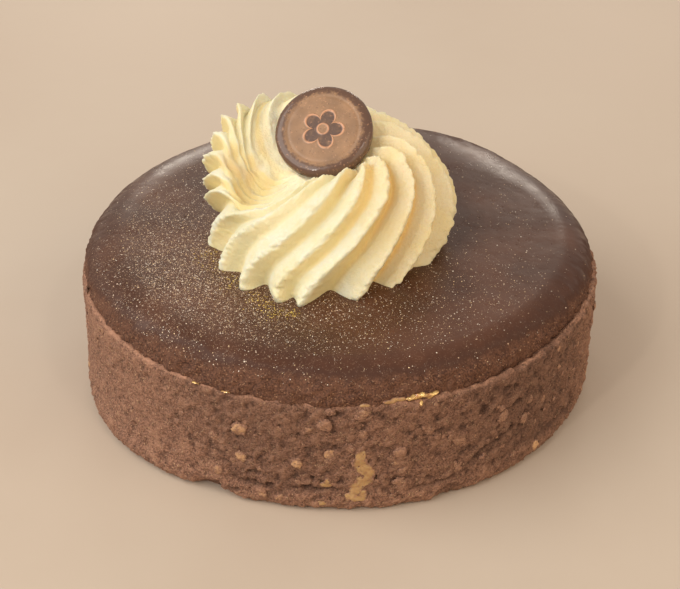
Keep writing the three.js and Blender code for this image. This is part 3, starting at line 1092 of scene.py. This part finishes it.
def makeNuggets(crustPiece):
    small = shapeOf(bpy.ops.mesh.primitive_ico_sphere_add, subdivisions=2, radius=1)
    large = shapeOf(bpy.ops.mesh.primitive_ico_sphere_add, subdivisions=3, radius=1)
    pick = random.Random(21)
    wanted = [(*seen, nuggets.proud) for seen in nuggets.seen]
    # round the back they lie as thick as at the front
    for _ in range(nuggets.unseen):
        wanted.append((*pickWithin(pick, nuggets.unseenRange), nuggets.proud))
    for _ in range(nuggets.scattered):
        size = pickSize(pick, nuggets)
        spot = pickWithin(pick, nuggets.scatteredRange)
        wanted.append((*spot, size, 0.6 * pick.random(), nuggets.scatteredProud))
    copies = []
    for index, (azimuth, height, size, tone, proud) in enumerate(wanted):
        out, place = castIn([crustPiece], azimuth, height)
        if place is None:
            continue
        points, faces = large if proud > 0.5 else small
        lumpy = 1.1 + 0.45 * softNoise(points * 1.3 + index * 3.7, 1.0, index % 11)
        lumpy += 0.35 * softNoise(points * 3.2 + index * 2.9, 1.0, index % 7)
        thickness = nuggets.thickness * size
        halves = np.array((size * pick.uniform(0.85, 1.2), thickness, size * 0.95))
        local = points * lumpy[:, None] * halves
        # the edge that sinks into the crumb takes its colour
        core = ramp(points[:, 1], 0.0, 0.75)
        axes = wallAxes(out) @ Matrix.Rotation(pick.uniform(-0.9, 0.9), 3, "Y")
        sunk = place - out * (thickness * (1 - proud))
        copies.append((local @ np.array(axes).T + np.array(sunk), faces, tone * core))
    piece = joinCopies("crust_nuggets", copies)
    return dress(piece, nuggetMaterial())


def nuggetMaterial():
    material, tree, shader, place = newMaterial("baked_nuggets")
    sand = addGrain(tree, place, 0.3, 0.18, 0.06)
    tone = unevenMask(tree, "tone", sand["Mottle"], 0.15)
    base = coatOver(
        tree, mixColours(tree, sand["Grain"], crust.dark, crust.middle),
        (tone, 0.1, 0.7, nuggets.warm, 0.65),
        (tone, 0.55, 0.95, nuggets.golden),
        (sand["Specks"], 0.7, crust.speck),
        # painted shade in the small pits
        (sand["Pits"], 0.5, crust.dark),
    )
    setShader(
        tree, shader, Base_Color=base, Roughness=rescale(tree, sand["Mottle"], 0.3, 0.7, 0.5, 0.8),
        Normal=bumpFrom(tree, sand["Height"], 0.9, 0.25),
    )
    return material


# seeped caramel and syrup: soft blobs run together on the wall

caramel = SimpleNamespace(
    # azimuth, height, half width, half height
    blobs=(
        (-85.2, 11.4, 1.0, 1.3), (-85.4, 9.9, 1.4, 1.4), (-84.6, 8.8, 1.5, 1.4), (-83.7, 7.6, 1.4, 1.6),
        (-84.4, 6.3, 1.7, 1.2), (-85.8, 5.4, 1.5, 1.0), (-86.2, 4.3, 1.1, 1.0), (-87.2, 3.2, 1.4, 0.8),
        (-85.6, 2.9, 1.6, 0.9), (-84.6, 3.6, 0.9, 0.9), (-91.9, 6.2, 0.5, 0.8), (-92.0, 5.5, 1.2, 0.6),
        (-92.9, 1.8, 0.9, 0.6), (-79.8, 21.1, 1.1, 0.45), (-78.5, 21.2, 1.2, 0.55),
        (-77.2, 21.2, 0.9, 0.45), (-84.6, 20.9, 1.0, 0.4),
    ),
    thickness=0.24,
    ragged=0.18,
    voxel=0.14,
    clumps=0.7,
    light=colour(182, 145, 98),
    deep=colour(160, 121, 77),
)
syrup = SimpleNamespace(
    blobs=(
        (-75.4, 21.2, 0.9, 0.4), (-74.2, 21.25, 1.0, 0.5), (-73.0, 21.2, 1.1, 0.5),
        (-71.4, 21.15, 1.0, 0.5), (-70.1, 21.2, 0.7, 0.3), (-73.4, 20.4, 0.4, 0.3),
        (-119.6, 20.75, 0.8, 0.16), (-112.8, 20.75, 0.9, 0.14),
    ),
    thickness=0.4,
    ragged=0.5,
    voxel=0.14,
    clumps=0.7,
    # painted highlight: the near-white gold patches stand in for the syrup's glints
    light=colour(246, 208, 132),
    deep=colour(142, 88, 42),
)


def makeBlobs(name, look, carriers, material):
    parts = []
    for azimuth, height, halfWidth, halfHeight in look.blobs:
        deselectAll()
        bpy.ops.mesh.primitive_ico_sphere_add(subdivisions=3, radius=mm)
        part = bpy.context.object
        out, place = castIn(carriers, azimuth, height)
        grown = Matrix.Diagonal((halfWidth, look.thickness, halfHeight, 1))
        part.data.transform(Matrix.Translation(place * mm) @ wallAxes(out).to_4x4() @ grown)
        parts.append(part)
    deselectAll()
    for part in parts:
        part.select_set(True)
    bpy.context.view_layer.objects.active = parts[0]
    bpy.ops.object.join()
    piece = bpy.context.object
    piece.name = piece.data.name = name
    applyModifier(piece, "REMESH", mode="VOXEL", voxel_size=look.voxel * mm)
    applyModifier(piece, "SMOOTH", factor=0.5, iterations=3)
    texture = bpy.data.textures.new(name, "CLOUDS")
    texture.noise_scale = look.clumps * mm
    settings = {"texture": texture, "strength": look.ragged * mm, "mid_level": 0.5}
    applyModifier(piece, "DISPLACE", texture_coords="LOCAL", direction="RGB_TO_XYZ", **settings)
    closeUp(piece, 0.002)
    # it thins out towards the edge of each blob
    points = readPoints(piece)
    azimuths = azimuthOf(points)
    thick = np.zeros(len(points))
    for azimuth, height, halfWidth, halfHeight in look.blobs:
        side = sideways(azimuths, azimuth) / halfWidth
        thick = np.maximum(thick, 1 - np.hypot(side, (points[:, 2] - height) / halfHeight))
    addMask(piece, "thick", thick)
    return dress(piece, material)


def caramelMaterial():
    material, tree, shader, place = newMaterial("seeped_caramel")
    sand = addGrain(tree, place, 0.5, 0.1, 0.14)
    thick = unevenMask(tree, "thick", sand["Mottle"], 0.15)
    toffee = blendIn(tree, caramel.deep, sand["Mottle"], 0.3, 0.7, caramel.light)
    toffee = tint(tree, toffee, sand["Pits"], 0.5, crust.middle)
    crumb = mixColours(tree, sand["Grain"], crust.dark, crust.middle)
    base = blendIn(tree, crumb, thick, 0.05, 0.5, toffee)
    setShader(
        tree, shader, Base_Color=base, Roughness=rescale(tree, sand["Mottle"], 0.3, 0.7, 0.5, 0.7),
        Subsurface_Weight=0.2, Subsurface_Radius=(1.0, 0.5, 0.2), Subsurface_Scale=0.6 * mm,
        Normal=bumpFrom(tree, sand["Height"], 0.5, 0.12),
    )
    return material


def syrupMaterial():
    material, tree, shader, place = newMaterial("syrup_with_painted_highlight")
    cloud = cloudNoise(tree, place, 0.9)
    # painted highlight: pale-gold cloudy patches laid over the deep amber
    base = blendIn(tree, syrup.deep, cloud, 0.3, 0.7, syrup.light)
    setShader(
        tree, shader, Base_Color=base, Roughness=rescale(tree, cloud, 0.3, 0.7, 0.12, 0.3),
        Metallic=0.5, Coat_Weight=1.0, Coat_Roughness=0.05, Normal=bumpFrom(tree, cloud, 0.5, 0.2),
    )
    return material


# shimmer: fine bright flakes dusted over the glaze, thickest at the left and along the cream's foot

shimmer = SimpleNamespace(
    count=23000,
    seed=8,
    smallest=0.05,
    largest=0.23,
    power=3,
    tilt=0.35,
    reach=43.3,
    # it thins out over the shoulder between two radii, and none lies under the cream
    thinning=(36, 39),
    underCream=16,
    thickest=(-22.0, -16.0),
    spread=21.0,
    elsewhere=0.17,
    castFrom=40,
    crown=0.35,
    # bronze, silver and gold
    tones=(colour(196, 166, 138), colour(240, 230, 215), colour(224, 196, 150)),
)
goldLeaf = SimpleNamespace(
    count=420,
    seed=31,
    smallest=0.1,
    largest=0.28,
    tilt=0.5,
    # plan x and y along the cream's foot, and spread
    patches=(
        (-22.5, -8.5, 1.2), (-20.6, -12.5, 1.3), (-17.5, -17.5, 1.4), (-13.7, -22.8, 1.2),
        (-11.5, -24.6, 1.0), (-10.2, -26.8, 0.9), (-7.6, -26.8, 0.8),
    ),
    # one deep and two bright
    tones=(colour(150, 118, 44), colour(222, 194, 100), colour(222, 194, 100)),
)


def flakeShape():
    # a flat six-sided flake with a low crown
    points, faces = shapeOf(bpy.ops.mesh.primitive_circle_add, vertices=6, radius=0.5, fill_type="TRIFAN")
    points[flatOf(points) < 0.1, 2] = shimmer.crown
    return points, faces


def flakeOn(glazePiece, shape, x, y, size, tilt, pick):
    place, normal = castOn(glazePiece, (x, y, shimmer.castFrom), (0, 0, -1))
    if place is None:
        return None
    lean = Vector((0, 0, 1)).rotation_difference(normal).to_matrix()
    spin = Matrix.Rotation(pick.uniform(0, 6.28), 3, "Z")
    axes = lean @ spin @ Matrix.Rotation(pick.gauss(0, tilt), 3, "X")
    local = shape * np.array((size * pick.uniform(0.6, 1.2), size, size * 0.3))
    return local @ np.array(axes).T + np.array(place + normal * 0.12 * size)


def pickShimmer(pick):
    # place and size of a flake, or nothing where it would lie too thick or under the cream
    turn = pick.uniform(0, 2 * math.pi)
    reach = shimmer.reach * math.sqrt(pick.random())
    x, y = reach * math.cos(turn), reach * math.sin(turn)
    if pick.random() > dustAt(x, y) * (1 - 0.65 * ramp(reach, *shimmer.thinning)):
        return None
    if math.hypot(x - cream.centre[0], y - cream.centre[1]) < shimmer.underCream:
        return None
    return x, y, pickSize(pick, shimmer)


def pickLeaf(pick):
    x, y, spread = pick.choice(goldLeaf.patches)
    size = pick.uniform(goldLeaf.smallest, goldLeaf.largest)
    return pick.gauss(x, spread), pick.gauss(y, spread), size


def scatterFlakes(name, look, pickSpot, glazePiece):
    points, faces = flakeShape()
    pick = random.Random(look.seed)
    copies = []
    while len(copies) < look.count:
        spot = pickSpot(pick)
        flake = flakeOn(glazePiece, points, *spot, look.tilt, pick) if spot else None
        if flake is not None:
            copies.append((flake, faces, pick.random()))
    return dress(joinCopies(name, copies), flakeMaterial(name, *look.tones))


def flakeMaterial(name, first, second, third):
    material, tree, shader, place = newMaterial(name)
    tone = maskOf(tree, "tone")
    grain = cloudNoise(tree, place, 0.1)
    coats = ((tone, 0.2, 0.6, second), (tone, 0.7, 0.9, third), (grain, 0.3, 0.7, first, 0.3))
    setShader(
        tree, shader, Base_Color=coatOver(tree, first, *coats), Metallic=0.15,
        Roughness=rescale(tree, grain, 0.3, 0.7, 0.3, 0.45), Normal=bumpFrom(tree, grain, 0.2, 0.02),
    )
    return material


# stage: pale floor, soft light and the camera

stage = SimpleNamespace(
    floor=colour(193, 177, 160),
    floorCloud=colour(187, 169, 151),
    floorSize=1900,
    cameraAt=(0.17, -226.955, 160.338),
    cameraTilt=56.849,
    cameraRoll=0.747,
    lens=79.41,
    sensor=36,
    aim=(0, 0, 20),
    world=(1.0, 0.925, 0.84, 1),
    worldStrength=0.56,
    # place, width, height, watts, colour
    lights={
        "keyLight": ((-560, -190, 500), 900, 700, 5.3, (1.0, 0.975, 0.93)),
        "fillLight": ((480, -380, 320), 700, 600, 1.85, (1.0, 0.78, 0.52)),
        "discGlint": ((-235, -365, 330), 24, 24, 0.3, (1.0, 0.95, 0.88)),
        "rimGlint": ((170, -250, 430), 40, 40, 0.15, (1.0, 0.95, 0.88)),
        "backRightLight": ((145, 500, 178), 115, 34, 0.23, (1.0, 0.88, 0.75)),
        "backLeftLight": ((-105, 570, 145), 160, 50, 0.34, (1.0, 0.88, 0.75)),
    },
)


def makeFloor():
    deselectAll()
    bpy.ops.mesh.primitive_plane_add(size=stage.floorSize * mm)
    floor = bpy.context.object
    floor.name = floor.data.name = "pale_floor"
    material, tree, shader, place = newMaterial("pale_floor")
    cloud = cloudNoise(tree, place, 90.0, 6.0)
    base = blendIn(tree, stage.floorCloud, cloud, 0.3, 0.7, stage.floor)
    setShader(tree, shader, Base_Color=base, Roughness=rescale(tree, cloud, 0.3, 0.7, 0.55, 0.7))
    floor.data.materials.append(material)


def makeLights():
    aim = Vector(stage.aim) * mm
    for name, (place, width, height, watts, glow) in stage.lights.items():
        lamp = bpy.data.lights.new(name, "AREA")
        lamp.shape = "RECTANGLE"
        lamp.size, lamp.size_y = width * mm, height * mm
        lamp.energy = watts
        lamp.color = glow
        light = bpy.data.objects.new(name, lamp)
        bpy.context.scene.collection.objects.link(light)
        light.location = Vector(place) * mm
        light.rotation_euler = (aim - light.location).to_track_quat("-Z", "Y").to_euler()
    world = bpy.data.worlds.new("soft_room")
    world.use_nodes = True
    sky = world.node_tree.nodes["Background"].inputs
    sky["Color"].default_value = stage.world
    sky["Strength"].default_value = stage.worldStrength
    bpy.context.scene.world = world


def makeCamera():
    lens = bpy.data.cameras.new("camera")
    lens.sensor_width = stage.sensor
    lens.lens = stage.lens
    camera = bpy.data.objects.new("camera", lens)
    bpy.context.scene.collection.objects.link(camera)
    camera.location = Vector(stage.cameraAt) * mm
    tilt = Matrix.Rotation(math.radians(stage.cameraTilt), 3, "X")
    roll = Matrix.Rotation(math.radians(stage.cameraRoll), 3, "Z")
    camera.rotation_euler = (tilt @ roll).to_euler()
    lens.clip_start, lens.clip_end = 0.01, 20
    bpy.context.scene.camera = camera
    bpy.context.scene.view_settings.view_transform = "Standard"


makeCamera()
makeFloor()
makeLights()
print("stage is set")
crustPiece = makeCrust()
glazePiece = makeGlaze()
makeCream()
makeDisc()
makeNuggets(crustPiece)
makeBlobs("caramel_seep", caramel, [crustPiece, glazePiece], caramelMaterial())
makeBlobs("syrup_drop", syrup, [crustPiece, glazePiece], syrupMaterial())
scatterFlakes("shimmer_dust", shimmer, pickShimmer, glazePiece)
scatterFlakes("gold_flakes", goldLeaf, pickLeaf, glazePiece)
